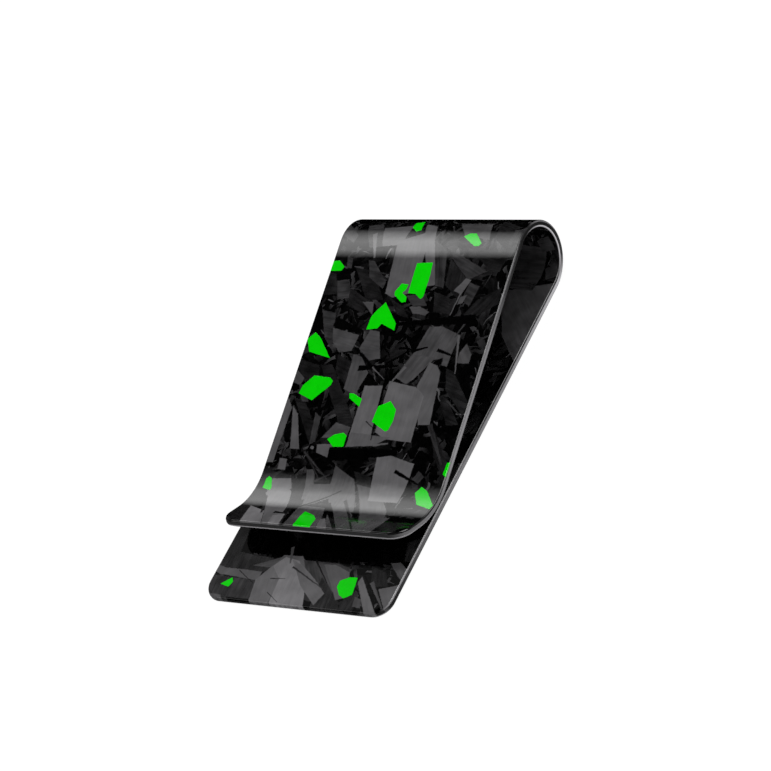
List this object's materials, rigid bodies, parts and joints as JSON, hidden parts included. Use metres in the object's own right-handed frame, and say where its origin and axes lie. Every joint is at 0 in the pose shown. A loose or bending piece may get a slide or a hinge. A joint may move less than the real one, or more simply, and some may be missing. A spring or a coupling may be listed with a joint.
{
  "type": "money clip",
  "caption": "Folded carbon strip money clip: flat back leaf, round spring bow and front leaf whose end flares into a lip, with green flakes inlaid in its glossy skins.",
  "frame": {"origin": "middle of the back leaf's flat outer face, which the clip rests on", "axes": "+X across the strip, +Y along the back leaf from its tip towards the bow, +Z from the back leaf towards the front leaf"},
  "size_m": [0.0254, 0.0507, 0.0091],
  "materials": {
    "forged_skin": "glossy black forged carbon with grey angular chips",
    "core": "cut and sanded carbon edge",
    "green_flake": "bright green, glossy, flush with the skin"
  },
  "bodies": {
    "back_leaf": {"back_leaf_outer_skin": "forged_skin", "back_leaf_core": "core", "back_leaf_inner_skin": "forged_skin", "flake_tip_left": "green_flake", "flake_tip_right": "green_flake", "flake_rest_face_1": "green_flake", "flake_rest_face_2": "green_flake", "flake_rest_face_3": "green_flake", "flake_rest_face_4": "green_flake", "flake_rest_face_5": "green_flake", "flake_rest_face_6": "green_flake"},
    "bow": {"bow_outer_skin": "forged_skin", "bow_core": "core", "bow_inner_skin": "forged_skin", "flake_bow_back_left": "green_flake", "flake_bow_back_right": "green_flake", "flake_bow_middle": "green_flake", "flake_bow_right": "green_flake"},
    "front_leaf": {"front_leaf_outer_skin": "forged_skin", "front_leaf_core": "core", "front_leaf_inner_skin": "forged_skin", "flake_left_edge": "green_flake", "flake_tall": "green_flake", "flake_notched": "green_flake", "flake_arrowhead": "green_flake", "flake_upper_left": "green_flake", "flake_middle_left": "green_flake", "flake_sliver": "green_flake", "flake_centre": "green_flake", "flake_lower_left": "green_flake", "flake_right_edge": "green_flake", "flake_lip_right": "green_flake", "flake_lip_left": "green_flake", "flake_lip_end": "green_flake"}
  },
  "joints": [
    {"name": "bow_opening", "type": "hinge", "parent": "back_leaf", "child": "bow", "pos_m": [0, 0.0215, 0.0004], "axis": [-1, 0, 0], "range_deg": [0, 5]},
    {"name": "front_leaf_opening", "type": "hinge", "parent": "bow", "child": "front_leaf", "pos_m": [0, 0.02055, 0.00819], "axis": [-1, 0, 0], "range_deg": [0, 5]}
  ],
  "couplings": [
    {"joint": "front_leaf_opening", "follows": "bow_opening", "ratio": 1}
  ]
}
